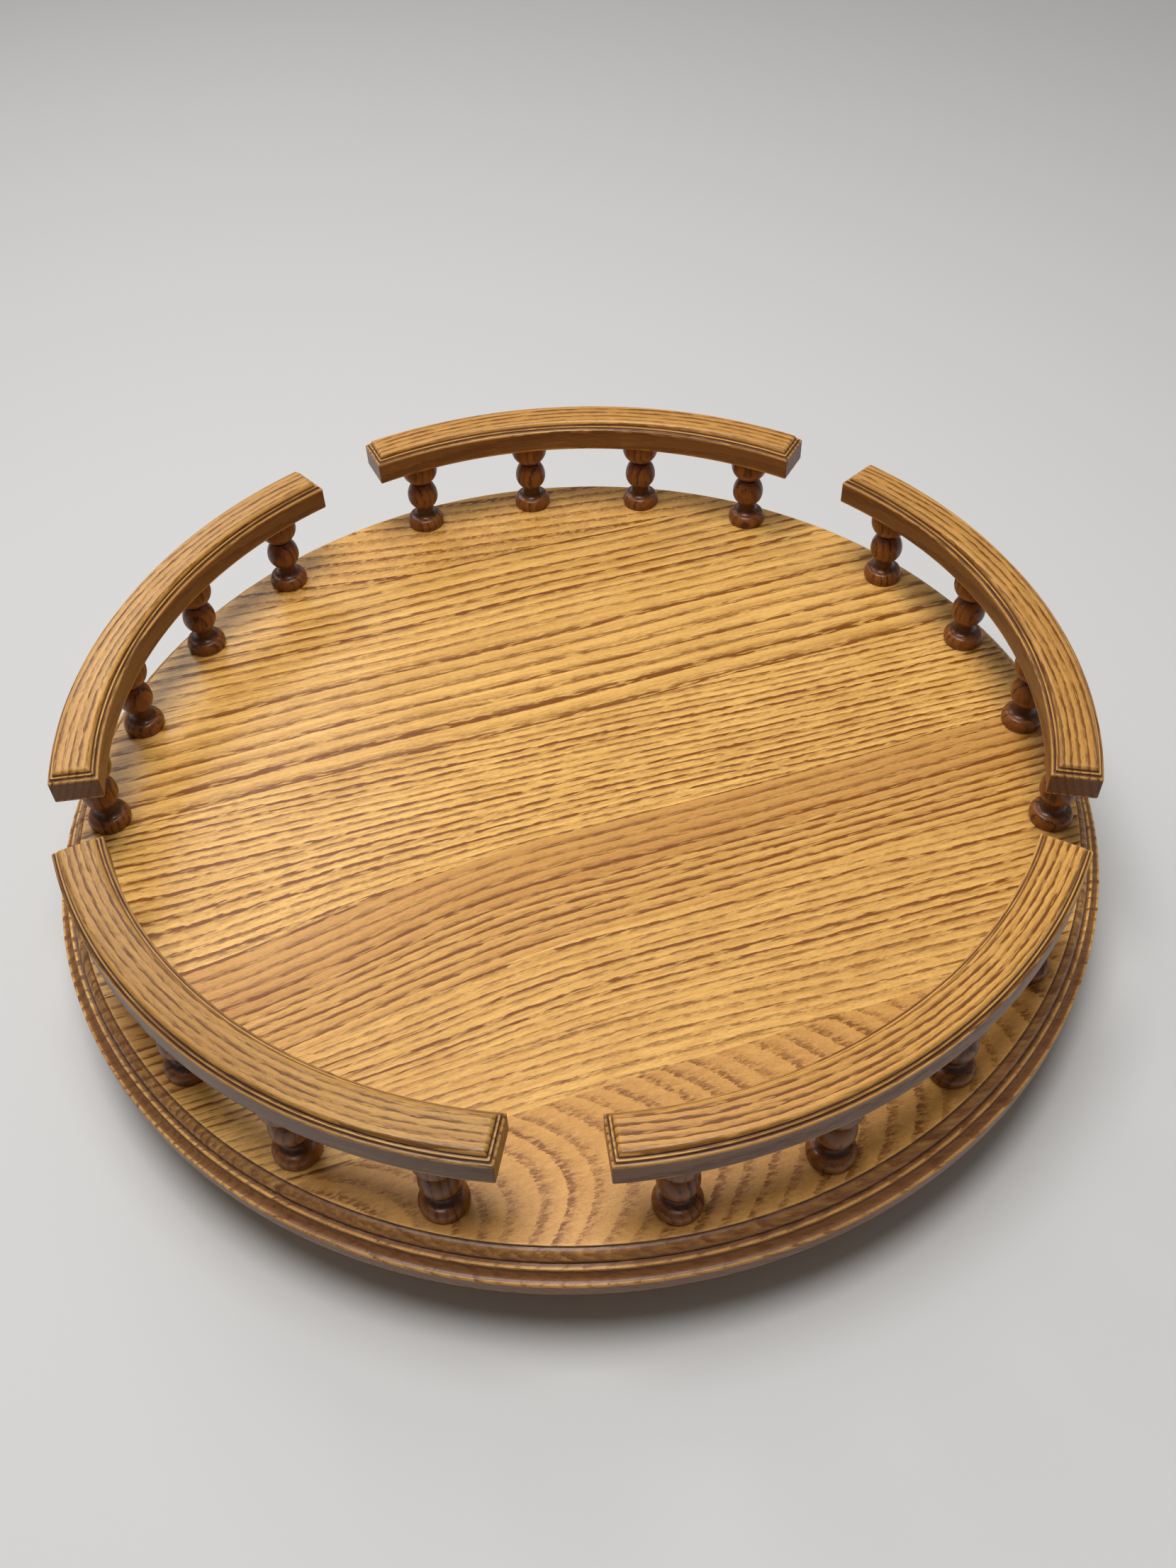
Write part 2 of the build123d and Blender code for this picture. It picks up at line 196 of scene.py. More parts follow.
def make_object(name, vertices, faces, grain=None, edge=None):
    """A smooth-shaded mesh object. `grain` gives each vertex its place in the tree, in millimetres, and
    `edge` says how far it is down in a groove or out on an edge, from -1 to 1."""
    mesh = bpy.data.meshes.new(name)
    mesh.from_pydata(vertices, [], faces)
    mesh.validate()
    mesh.shade_smooth()
    if grain:
        attribute = mesh.attributes.new("grain", "FLOAT_VECTOR", "POINT")
        attribute.data.foreach_set("vector", [value for vector in grain for value in vector])
    if edge:
        mesh.attributes.new("edge", "FLOAT", "POINT").data.foreach_set("value", edge)
    piece = bpy.data.objects.new(name, mesh)
    bpy.context.scene.collection.objects.link(piece)
    modifier = piece.modifiers.new("flat_faces", "WEIGHTED_NORMAL")
    modifier.weight = 60
    return piece


def turned(outline, segments):
    """Vertices and faces of a closed lathe form about Z. The outline runs from axis to axis, upwards."""
    vertices = [(0, 0, outline[0][1])]
    for radius, height in outline[1:-1]:
        vertices += [(radius * cos(2 * pi * k / segments), radius * sin(2 * pi * k / segments), height)
                     for k in range(segments)]
    vertices.append((0, 0, outline[-1][1]))
    rings = len(outline) - 2
    top = len(vertices) - 1
    faces = []
    for k in range(segments):
        following = (k + 1) % segments
        faces.append((0, 1 + following, 1 + k))
        for ring in range(rings - 1):
            low = 1 + ring * segments
            high = low + segments
            faces.append((low + k, low + following, high + following, high + k))
        last = 1 + (rings - 1) * segments
        faces.append((last + k, last + following, top))
    return vertices, faces


def ring_values(values, segments):
    """Spreads one value per outline point over the vertices that `turned` makes."""
    return [values[0]] + [value for value in values[1:-1] for _k in range(segments)] + [values[-1]]


def circle_crossing(point, direction, radius):
    """Where the line from `point` along `direction` meets a circle about the origin, going outwards."""
    along = point.dot(direction)
    return point + direction * (-along + sqrt(along ** 2 - point.length_squared + radius ** 2))


def rail_loop(inset, corner, arc_steps, end_steps):
    """A rail's outline in plan, moved inwards by `inset`, as points in millimetres, anticlockwise.

    The rail's middle is on +X. Order: outer arc, far end, inner arc, near end, each corner rounded."""
    outer = RAIL_OUTER / MM - inset
    inner = RAIL_OUTER / MM - RAIL_WIDTH + inset
    middle_radius = RAIL_OUTER / MM - RAIL_WIDTH / 2
    middle = Vector((middle_radius * cos(RAIL_HALF_SPAN), middle_radius * sin(RAIL_HALF_SPAN)))
    lean = RAIL_HALF_SPAN - RAIL_END_SKEW
    direction = Vector((cos(lean), sin(lean)))
    facing = Vector((-sin(lean), cos(lean)))
    outer_corner = circle_crossing(middle - facing * inset, direction, outer)
    inner_corner = circle_crossing(middle - facing * inset, direction, inner)
    mirrored = [Vector((p.x, -p.y)) for p in (outer_corner, inner_corner)]

    def arc(start, end, radius):
        first, last = atan2(start.y, start.x), atan2(end.y, end.x)
        trim = corner / radius * (1 if last > first else -1)
        sweep = last - first - 2 * trim
        angles = [first + trim + sweep * k / arc_steps for k in range(arc_steps + 1)]
        return [Vector((radius * cos(angle), radius * sin(angle))) for angle in angles]

    def straight(start, end):
        step = (end - start).normalized() * corner
        return [start + step + (end - start - 2 * step) * k / end_steps for k in range(end_steps + 1)]

    sides = [
        (arc(mirrored[0], outer_corner, outer), outer_corner),
        (straight(outer_corner, inner_corner), inner_corner),
        (arc(inner_corner, mirrored[1], inner), mirrored[1]),
        (straight(mirrored[1], mirrored[0]), mirrored[0]),
    ]
    points = []
    for number, (side, tip) in enumerate(sides):
        points += side
        following = sides[(number + 1) % 4][0][0]
        points += [bend_between(side[-1], tip, following, share) for share in (0.25, 0.5, 0.75)]
    return points


def rail_mesh(arc_steps=96, end_steps=10):
    """Vertices, faces and edge signs of a rail whose middle is on +X, in millimetres above its underside."""
    thickness = (RAIL_HIGH.z - RAIL_LOW.z) / MM
    run = RAIL_EDGE["ovolo"] + RAIL_EDGE["ledge"] + RAIL_EDGE["cove"] + RAIL_EDGE["lip"]
    side = [(run + 1.2, 0)] + moulding(RAIL_EDGE)
    round_centre = thickness - RAIL_BOTTOM_ROUND
    side += arc_points((0, round_centre), (0, 1), (RAIL_BOTTOM_ROUND, thickness), 5)
    side += [(RAIL_BOTTOM_ROUND + 1.2, thickness)]
    side = support(soften(side, 0.28))
    # Faces more than 2.6 mm below the top are darkened: partly finish that soaked in, partly painted shade
    signs = edge_signs([(inset, -depth) for inset, depth in side], stained_and_shaded=lambda point: point[1] < -2.6)
    vertices, edge = [], []
    for (inset, depth), sign in zip(side, signs):
        corner = 0.7 - 0.35 * min(inset / run, 1)
        loop_points = rail_loop(inset, corner, arc_steps, end_steps)
        vertices += [(p.x, p.y, thickness - depth) for p in loop_points]
        edge += [sign] * len(loop_points)
    loop = len(vertices) // len(side)
    faces = []
    for ring in range(len(side) - 1):
        high, low = ring * loop, (ring + 1) * loop
        for k in range(loop):
            following = (k + 1) % loop
            faces.append((high + k, low + k, low + following, high + following))
    outer = list(range(arc_steps + 1))
    first_inner = arc_steps + 1 + 3 + end_steps + 1 + 3
    inner = [first_inner + arc_steps - k for k in range(arc_steps + 1)]
    for base, turn in ((0, 1), (loop * (len(side) - 1), -1)):
        for k in range(arc_steps):
            face = (base + inner[k], base + outer[k], base + outer[k + 1], base + inner[k + 1])
            faces.append(face[::turn])
        far_end = list(range(arc_steps, first_inner + 1))
        near_end = list(range(first_inner + arc_steps, loop)) + [0]
        faces.append(tuple(base + k for k in far_end)[::turn])
        faces.append(tuple(base + k for k in near_end)[::turn])
    return vertices, faces, edge


# ---------------------------------------------------------------- materials

class Nodes:
    """Short calls that build one material's node tree."""

    def __init__(self, name):
        self.material = bpy.data.materials.new(name)
        self.material.use_nodes = True
        self.tree = self.material.node_tree
        self.shader = self.tree.nodes["Principled BSDF"]

    def add(self, kind, inputs=None, **settings):
        node = self.tree.nodes.new(kind)
        for key, value in settings.items():
            setattr(node, key, value)
        for key, value in (inputs or {}).items():
            self.put(node.inputs[key], value)
        return node

    def put(self, socket, value):
        if isinstance(value, bpy.types.NodeSocket):
            self.tree.links.new(value, socket)
        else:
            socket.default_value = value

    def set(self, **values):
        """Sets the shader's sockets, named with underscores."""
        for key, value in values.items():
            self.put(self.shader.inputs[key.replace("_", " ")], value)

    def math(self, operation, a, b=0.0, c=0.0, clamp=False):
        node = self.add("ShaderNodeMath", operation=operation, use_clamp=clamp)
        for socket, value in zip(node.inputs, (a, b, c)):
            self.put(socket, value)
        return node.outputs[0]

    def vector(self, x=0.0, y=0.0, z=0.0):
        return self.add("ShaderNodeCombineXYZ", {0: x, 1: y, 2: z}).outputs[0]

    def scale(self, vector, factors):
        node = self.add("ShaderNodeVectorMath", {0: vector, 1: factors}, operation="MULTIPLY")
        return node.outputs[0]

    def shift(self, vector, offsets):
        node = self.add("ShaderNodeVectorMath", {0: vector, 1: offsets}, operation="ADD")
        return node.outputs[0]

    def noise(self, vector, detail=2.0, roughness=0.5, seed=0.0):
        node = self.add("ShaderNodeTexNoise", {"Vector": vector, "Scale": 1.0, "Detail": detail,
                                               "Roughness": roughness, "W": seed}, noise_dimensions="4D")
        return node.outputs[0]

    def cells(self, vector):
        return self.add("ShaderNodeTexVoronoi", {"Vector": vector, "Scale": 1.0})

    def ramp(self, value, stops, interpolation="LINEAR"):
        """stops: (place, grey or colour) pairs."""
        node = self.add("ShaderNodeValToRGB", {0: value})
        ramp = node.color_ramp
        ramp.interpolation = interpolation
        while len(ramp.elements) < len(stops):
            ramp.elements.new(0.5)
        for element, (place, colour) in zip(ramp.elements, stops):
            element.position = place
            grey = isinstance(colour, (int, float))
            element.color = (colour, colour, colour, 1) if grey else (*colour, 1)
        return node.outputs[0]

    def remap(self, value, low, high, to_low=0.0, to_high=1.0):
        node = self.add("ShaderNodeMapRange", {0: value, 1: low, 2: high, 3: to_low, 4: to_high},
                        interpolation_type="SMOOTHSTEP")
        return node.outputs[0]

    def blend(self, factor, a, b, mode="MIX"):
        node = self.add("ShaderNodeMix", data_type="RGBA", blend_type=mode)
        self.put(node.inputs[0], factor)
        self.put(node.inputs[6], (*a, 1) if isinstance(a, tuple) else a)
        self.put(node.inputs[7], (*b, 1) if isinstance(b, tuple) else b)
        return node.outputs[2]

    def bump(self, height, distance, strength):
        node = self.add("ShaderNodeBump", {"Height": height, "Distance": distance, "Strength": strength})
        return node.outputs[0]


def srgb(red, green, blue):
    """A colour given as 0-255 screen values, as the linear values that shaders take."""
    return tuple((c / 255 / 12.92) if c <= 10 else ((c / 255 + 0.055) / 1.055) ** 2.4
                 for c in (red, green, blue))


# How much of each strip value the two colour ramps can hold
STRIP_SPAN = 500.0
PITH_SPAN = 1000.0
RISE_SPAN = 2.0
RING_LIMIT = 20.0
WARMTH_LIMIT = 2.0
FIGURE_LIMIT = 2.0


def strip_grain(n, strips, grain_turn):
    """The place in the tree of each point of a board that is edge-glued from strips.

    The board's own axes are turned by `grain_turn` about Z. Each strip has its front edge, the pith's
    offset across and in depth, how fast the pith rises along the board, its ring width and its warmth."""
    place = n.add("ShaderNodeTexCoord").outputs["Object"]
    board = n.add("ShaderNodeMapping", {"Vector": place, "Scale": (1 / MM,) * 3,
                                        "Rotation": (0, 0, -grain_turn)}, vector_type="POINT").outputs[0]
    parts = n.add("ShaderNodeSeparateXYZ", {0: board})
    along, across, up = parts.outputs
    drift = n.noise(n.scale(board, (1 / 260, 1 / 110, 0)), 1.0, 0.5, 40.0)
    across = n.math("MULTIPLY_ADD", n.math("SUBTRACT", drift, 0.5), 6.0, across)

    # The joins in the middle of the front half sweep forward by up to 20 mm towards their -X end
    sweep = n.math("MULTIPLY", n.remap(along, -10.0, -210.0, 0.0, 20.0), n.remap(across, 20.0, -60.0))
    sweep = n.math("MULTIPLY", sweep, n.remap(across, -150.0, -95.0))
    across = n.math("ADD", across, sweep)

    # One colour ramp holds each strip's place in the tree, and another holds its looks
    where = n.math("DIVIDE", n.math("ADD", across, STRIP_SPAN / 2), STRIP_SPAN)
    places, styles = [], []
    for strip in strips:
        edge = (strip["edge"] + STRIP_SPAN / 2) / STRIP_SPAN
        places.append((edge, (0.5 + strip["pith"] / PITH_SPAN, 0.5 + strip["depth"] / PITH_SPAN,
                              0.5 + strip["rise"] / RISE_SPAN)))
        styles.append((edge, (strip["ring"] / RING_LIMIT, strip["warmth"] / WARMTH_LIMIT,
                              strip["figure"] / FIGURE_LIMIT)))
    facts = n.add("ShaderNodeSeparateColor", {0: n.ramp(where, places, "CONSTANT")})
    looks = n.add("ShaderNodeSeparateColor", {0: n.ramp(where, styles, "CONSTANT")})
    pith, depth, rise = (n.math("MULTIPLY", n.math("SUBTRACT", facts.outputs[k], 0.5), span)
                         for k, span in enumerate((PITH_SPAN, PITH_SPAN, RISE_SPAN)))
    down = n.math("SUBTRACT", up, n.math("MULTIPLY_ADD", along, rise, depth))
    shifted = n.math("MULTIPLY_ADD", pith, 3.7, along)
    grain = n.vector(shifted, n.math("SUBTRACT", across, pith), down)
    ring, warmth, figure = (n.math("MULTIPLY", looks.outputs[k], limit)
                            for k, limit in enumerate((RING_LIMIT, WARMTH_LIMIT, FIGURE_LIMIT)))
    return grain, ring, warmth, figure


def oak(name, light, dark, pore, strips=None, grain_turn=0.0, ring=4.2, contrast=1.0, roughness=0.36,
        coat=0.11, coat_roughness=0.16, wave=1.0):
    """Golden oak as a solid texture: growth rings about a pith, dashed pores and fine fibre.

    Pieces give their place in the tree by a `grain` attribute, in millimetres, along the grain first.
    A board of strips takes it from its own place instead."""
    n = Nodes(name)
    if strips:
        grain, ring, warmth, figure = strip_grain(n, strips, grain_turn)
    else:
        grain, figure = n.add("ShaderNodeAttribute", attribute_name="grain").outputs["Vector"], 1.0
        warmth = n.remap(n.noise(n.scale(grain, (1 / 250,) * 3), seed=2.0), 0.35, 0.65)
    # The whole grain bends in slow waves, and in small quick ones
    slow = n.math("SUBTRACT", n.noise(n.scale(grain, (1 / 170, 1 / 60, 1 / 60)), 1.0, 0.5, 1.0), 0.5)
    quick = n.math("SUBTRACT", n.noise(n.scale(grain, (1 / 45, 1 / 11, 1 / 11)), 1.0, 0.5, 5.0), 0.5)
    bend = n.math("ADD", n.math("MULTIPLY", slow, 6.0 * wave), n.math("MULTIPLY", quick, 1.25 * wave))
    grain = n.shift(grain, n.vector(y=bend))
    parts = n.add("ShaderNodeSeparateXYZ", {0: grain})
    across, down = parts.outputs[1], parts.outputs[2]

    # Rings: distance from the pith, counted in ring widths that vary, with ragged edges
    squares = n.math("MULTIPLY_ADD", across, across, n.math("MULTIPLY", down, down))
    distance = n.math("SQRT", squares)
    count = n.math("DIVIDE", distance, ring)
    spacing = n.noise(n.vector(n.math("MULTIPLY", count, 0.45)), 1.0, 0.5, 9.0)
    count = n.math("MULTIPLY_ADD", spacing, 0.85, count)
    ragged = n.noise(n.scale(grain, (1 / 6, 1 / 0.7, 1 / 0.7)), 1.0, 0.6, 11.0)
    count = n.math("MULTIPLY_ADD", n.math("SUBTRACT", ragged, 0.5), n.math("DIVIDE", 1.3, ring), count)
    phase = n.math("FRACT", count)
    early = n.ramp(phase, [(0.0, 0.0), (0.07, 0.95), (0.26, 0.85), (0.44, 0.3), (0.7, 0.1), (1.0, 0.0)])
    each_ring = n.add("ShaderNodeTexWhiteNoise", {"W": n.math("FLOOR", count)}, noise_dimensions="1D")
    strength = n.remap(each_ring.outputs[0], 0.0, 1.0, 0.55, 1.2)
    broken = n.noise(n.scale(grain, (1 / 11, 1 / 1.3, 1 / 1.3)), 1.0, 0.5, 15.0)
    broken = n.remap(broken, 0.38, 0.52, 0.25, 1.0)
    line = n.math("MULTIPLY", n.math("MULTIPLY", early, strength), n.math("MULTIPLY", broken, figure))

    # Pores: dashes along the grain, crowded in the early wood, with finer ones everywhere
    long_pores = n.cells(n.scale(grain, (1 / 6.5, 1 / 0.75, 1 / 0.75))).outputs["Distance"]
    elsewhere = n.shift(grain, (31.0, 7.0, 3.0))
    fine_pores = n.cells(n.scale(elsewhere, (1 / 3.4, 1 / 0.5, 1 / 0.5))).outputs["Distance"]
    long_pores = n.math("MULTIPLY", n.remap(long_pores, 0.52, 0.36), line)
    fine_pores = n.math("MULTIPLY", n.remap(fine_pores, 0.40, 0.24), n.math("MULTIPLY_ADD", early, 0.6, 0.4))

    # Fibre: streaks along the grain at three scales
    streak = n.noise(n.scale(grain, (1 / 70, 1 / 2.2, 1 / 2.2)), 3.0, 0.6, 13.0)
    hair = n.noise(n.scale(grain, (1 / 20, 1 / 0.5, 1 / 0.5)), 2.0, 0.5, 17.0)
    cloud = n.noise(n.scale(grain, (1 / 90, 1 / 45, 1 / 45)), 2.0, 0.5, 21.0)

    # The red is darker than the dark wood: partly the redder wood's own colour, partly painted shade that
    # darkens the warm front strip most
    red = (dark[0] * 0.94, dark[1] * 0.86, dark[2] * 1.15)
    colour = n.blend(n.remap(streak, 0.3, 0.7, 0.0, 0.5), light, dark)
    colour = n.blend(n.math("MULTIPLY", n.remap(cloud, 0.35, 0.7), 0.2), colour, dark)
    colour = n.blend(n.math("MULTIPLY", warmth, 0.48, clamp=True), colour, red)
    colour = n.blend(n.remap(hair, 0.35, 0.75, 0.0, 0.25), colour, dark)
    colour = n.blend(n.math("MULTIPLY", line, 1.12 * contrast, clamp=True), colour, pore)
    mark = n.math("ADD", n.math("MULTIPLY", long_pores, 1.1 * contrast),
                  n.math("MULTIPLY", fine_pores, 0.5 * contrast), clamp=True)
    colour = n.blend(mark, colour, pore)

    # Darker on routed faces and deeper in the grooves: partly finish that soaked in and pooled there, partly
    # painted shade. Paler on the outer edges: partly rubbed wear, partly a painted highlight
    edge = n.add("ShaderNodeAttribute", attribute_name="edge").outputs["Fac"]
    uneven = n.noise(n.scale(grain, (1 / 14, 1 / 1.6, 1 / 1.6)), 2.0, 0.5, 23.0)
    uneven = n.remap(uneven, 0.3, 0.7, 0.6, 1.15)
    sunk = n.math("MULTIPLY", n.math("MULTIPLY", edge, -1.0), uneven)
    stain_and_shade = (dark[0] * 0.34, dark[1] * 0.27, dark[2] * 0.5)
    # Routed faces and grooves darkened: partly finish soaked in, partly painted shade
    colour = n.blend(n.remap(sunk, 0.0, ROUTED_STAIN_AND_SHADE * 0.8, 0.0, 0.86), colour, stain_and_shade)
    # The deepest grooves go almost black: painted shade in the recesses, with some pooled finish
    colour = n.blend(n.remap(sunk, ROUTED_STAIN_AND_SHADE * 1.1, 1.0, 0.0, 0.85), colour, tuple(0.4 * p for p in pore))
    # Outer edges lightened: a painted highlight, with some rubbed wear
    colour = n.blend(n.math("MULTIPLY", n.math("MULTIPLY", edge, 0.3), uneven, clamp=True), colour, light)

    height = n.math("SUBTRACT", n.math("MULTIPLY", hair, 0.25), mark)
    height = n.math("SUBTRACT", height, n.math("MULTIPLY", line, 0.3))
    dull = n.remap(cloud, 0.3, 0.7, roughness - 0.04, roughness + 0.05)
    n.set(Base_Color=colour, Roughness=n.math("MULTIPLY_ADD", mark, 0.16, dull), Specular_IOR_Level=0.3,
          Coat_Weight=coat, Coat_Roughness=coat_roughness, Coat_IOR=1.5,
          Normal=n.bump(height, PORE_DEPTH * MM, 0.8))
    return n.material


def steel(name, colour, roughness, brush):
    """Zinc-plated steel: faint mottled spangle, rolling marks and handling smears."""
    n = Nodes(name)
    place = n.scale(n.add("ShaderNodeTexCoord").outputs["Object"], (1 / MM,) * 3)
    spangle = n.cells(n.scale(place, (0.5, 0.5, 0.5))).outputs["Color"]
    spangle = n.add("ShaderNodeSeparateColor", {0: spangle}).outputs[0]
    smear = n.noise(n.scale(place, (0.03, 0.03, 0.03)), 4.0, 0.6, 2.0)
    lines = n.noise(n.scale(place, (0.05, brush, brush)), 2.0, 0.5, 4.0)
    shade = n.math("ADD", n.math("MULTIPLY", spangle, 0.14), n.math("MULTIPLY", smear, 0.3))
    dull = tuple(c * 0.66 for c in colour)
    smeared = n.remap(smear, 0.3, 0.7, roughness - 0.08, roughness + 0.08)
    n.set(Base_Color=n.blend(n.math("MULTIPLY", shade, 1.6, clamp=True), colour, dull), Metallic=1.0,
          Roughness=n.math("ADD", n.math("MULTIPLY", lines, 0.2), smeared),
          Normal=n.bump(lines, 0.01 * MM, 0.5))
    return n.material


def rubber(name):
    """Black rubber: dusty bloom and a fine moulded texture."""
    n = Nodes(name)
    place = n.scale(n.add("ShaderNodeTexCoord").outputs["Object"], (1 / MM,) * 3)
    grit = n.noise(n.scale(place, (2.5, 2.5, 2.5)), 4.0, 0.65, 1.0)
    dust = n.noise(n.scale(place, (0.25, 0.25, 0.25)), 4.0, 0.6, 6.0)
    n.set(Base_Color=n.blend(n.remap(dust, 0.4, 0.75, 0.0, 0.7), srgb(30, 29, 28), srgb(74, 71, 67)),
          Roughness=n.remap(grit, 0.2, 0.8, 0.62, 0.85), Normal=n.bump(grit, 0.06 * MM, 0.6))
    return n.material


# ---------------------------------------------------------------- wood pieces

def oak_strip(edge, pith, depth, rise=0.0, ring=5.0, warmth=0.2, figure=1.0):
    return {"edge": edge, "pith": pith, "depth": depth, "rise": rise, "ring": ring, "warmth": warmth,
            "figure": figure}


TRAY_STRIPS = [
    # The front strip's high warmth pulls it towards the dark red: partly its own redder wood, partly painted
    # shade over the front of the tray
    oak_strip(-250, -184, -42, rise=-0.28, ring=3.1, warmth=1.2, figure=0.75),
    oak_strip(-153, 230, -150, rise=0.1, ring=4.3, warmth=0.35, figure=0.9),
    oak_strip(-126, 230, -150, rise=0.06, ring=3.7, warmth=0.25, figure=0.95),
    oak_strip(-84, -330, -90, ring=4.0, warmth=0.7, figure=0.95),
    oak_strip(-58, -330, -90, ring=5.4, warmth=1.2),
    oak_strip(-30, 290, -220, rise=0.05, ring=3.0, warmth=0.0, figure=1.1),
    oak_strip(38, -260, -110, ring=8.2, warmth=0.08),
    oak_strip(100, 330, -60, rise=0.02, ring=6.3, warmth=0.12),
    oak_strip(166, 480, -90, rise=0.28, ring=7.0, warmth=0.5, figure=0.9),
]
BASE_STRIPS = [
    oak_strip(-250, -300, -120, ring=5.5, warmth=0.2),
    oak_strip(-86, 260, -90, ring=4.2, warmth=0.7),
    oak_strip(-18, -20, -60, rise=0.12, ring=5.0, warmth=0.1),
    oak_strip(62, -240, -140, ring=6.0, warmth=0.45),
]

LIGHT = srgb(240, 190, 108)
DARK = srgb(180, 125, 53)
PORE = srgb(118, 66, 5)
tray_oak = oak("tray_oak", LIGHT, DARK, PORE, strips=TRAY_STRIPS, grain_turn=radians(19.5))
base_oak = oak("base_oak", LIGHT, DARK, PORE, strips=BASE_STRIPS, grain_turn=radians(-8))
spindle_oak = oak("spindle_oak", srgb(150, 90, 34), srgb(114, 62, 18), srgb(62, 30, 6), ring=3.0,
                  contrast=0.75, roughness=0.38, coat=0.22, coat_roughness=0.14, wave=0.3)


def rail_oak(rail):
    """A rail's own oak: its colours are all scaled by the rail's factor, partly for its own board and partly
    as painted light and shade.
    """
    tone_and_shading = RAIL_TONES_AND_SHADING[rail - 1]
    light, dark, pore = (tuple(tone_and_shading * channel for channel in colour)
                         for colour in (srgb(216, 165, 88), srgb(162, 112, 46), srgb(104, 60, 6)))
    return oak(f"rail_oak_{rail}", light, dark, pore, ring=3.0, contrast=1.1, wave=0.6)


def board(name, radius, low, high, top_edge, bottom_edge, material, segments):
    """A round board whose edge goes through the given (radius, height) points, in millimetres."""
    outline = [(0, low), (radius * 0.5, low), (radius - 12, low)]
    outline += bottom_edge + top_edge
    outline += [(radius - 14, high), (radius * 0.5, high), (0, high)]
    outline = support(soften(outline, 0.35))
    vertices, faces = turned([(r * MM, z * MM) for r, z in outline], segments)
    # The board's side faces are darkened: partly finish that soaked in, partly painted shade
    piece = make_object(name, vertices, faces, edge=ring_values(edge_signs(
        outline, stained_and_shaded=lambda point: low + 0.1 < point[1] < high - 0.5), segments))
    piece.data.materials.append(material)
    return piece


def rail_middle(rail):
    """The direction of a rail's middle, as an angle about +Z from +X."""
    return radians(90 + (rail - 1) * 360 / RAIL_COUNT)


def add_tray():
    low, high, radius = TRAY_LOW.z / MM, TRAY_HIGH.z / MM, TRAY_RADIUS / MM
    side = [(radius - inset, high - depth) for inset, depth in reversed(moulding(TRAY_EDGE, 12))]
    foot = arc_points((radius - TRAY_BOTTOM_ROUND, low), (1, 0), (radius, low + TRAY_BOTTOM_ROUND), 8)
    piece = board("tray_board_oak", radius, low, high, side, foot, tray_oak, TRAY_SEGMENTS)
    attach(piece, "turntable")
    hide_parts("tray_board")


def add_rail(rail, vertices, faces, edges):
    """One rail. Its grain follows the bend, and drifts across it by a little that differs by rail."""
    turn = rail_middle(rail)
    placed = [((x * cos(turn) - y * sin(turn)) * MM, (x * sin(turn) + y * cos(turn)) * MM,
               z * MM + RAIL_LOW.z) for x, y, z in vertices]
    grain = []
    for x, y, z in vertices:
        along = atan2(y, x) * RAIL_CIRCLE
        across = hypot(x, y) - RAIL_CIRCLE + GRAIN_DRIFT[rail - 1] * along
        grain.append((along + 900 * rail, across - 150 - 17 * rail, z - 40 - 23 * (rail % 3)))
    piece = make_object(f"rail_{rail}_oak", placed, faces, grain, edges)
    piece.data.materials.append(rail_oak(rail))
    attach(piece, "turntable")
    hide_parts(f"rail_{rail}")


def add_spindle(rail, spindle, vertices, faces, edges):
    """One spindle, cut from its own place in the tree and turned its own way."""
    place = rail_middle(rail) + (spindle - (SPINDLES_PER_RAIL + 1) / 2) * SPINDLE_PITCH
    number = (rail - 1) * SPINDLES_PER_RAIL + spindle
    spin = radians(137.5 * number)
    middle_x, middle_y = RAIL_CIRCLE * cos(place), RAIL_CIRCLE * sin(place)
    placed = [((x + middle_x) * MM, (y + middle_y) * MM, z * MM + TRAY_HIGH.z) for x, y, z in vertices]
    grain = [(z + 70 * number, x * cos(spin) - y * sin(spin) + 22 + number % 4 * 9,
              x * sin(spin) + y * cos(spin) + 15 + number % 3 * 11) for x, y, z in vertices]
    piece = make_object(f"spindle_{rail}_{spindle}_oak", placed, faces, grain, edges)
    piece.data.materials.append(spindle_oak)
    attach(piece, "turntable")
    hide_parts(f"spindle_{rail}_{spindle}")


add_tray()
rail_parts = rail_mesh()
spindle_outline = soften(spindle_profile(), 0.25)
spindle_edges = ring_values(edge_signs(spindle_outline, 1.2), SPINDLE_SEGMENTS)
spindle_parts = (*turned(spindle_outline, SPINDLE_SEGMENTS), spindle_edges)
for rail in range(1, RAIL_COUNT + 1):
    add_rail(rail, *rail_parts)
for rail in range(1, RAIL_COUNT + 1):
    for spindle in range(1, SPINDLES_PER_RAIL + 1):
        add_spindle(rail, spindle, *spindle_parts)

# ---------------------------------------------------------------- CAD nodes that stay

zinc = steel("zinc_plate", srgb(196, 196, 190), 0.34, 1.6)
screw_zinc = steel("screw_zinc", srgb(190, 186, 172), 0.3, 3.0)
ball_steel = steel("ball_steel", srgb(205, 205, 208), 0.16, 5.0)
foot_rubber = rubber("foot_rubber")
kept = {"bearing_lower_plate": zinc, "bearing_upper_plate": zinc, "bearing_balls": ball_steel,
        "tray_screws": screw_zinc, "base_screws": screw_zinc, "foot_screws": screw_zinc,
        "base_board": base_oak, **{f"foot_{k}": foot_rubber for k in range(1, 5)}}
for node, material in kept.items():
    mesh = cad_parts[node].data
    mesh.materials.clear()
    mesh.materials.append(material)

# ---------------------------------------------------------------- floor, light and camera

FLOOR_HALF = 6.0
CAMERA_DISTANCE = 0.6401
CAMERA_ELEVATION = radians(47.4)
CAMERA_AZIMUTH = radians(-86.25)
CAMERA_ROLL = radians(-2.5)
CAMERA_AIM = Vector((0.0053, -0.0032, TRAY_HIGH.z))


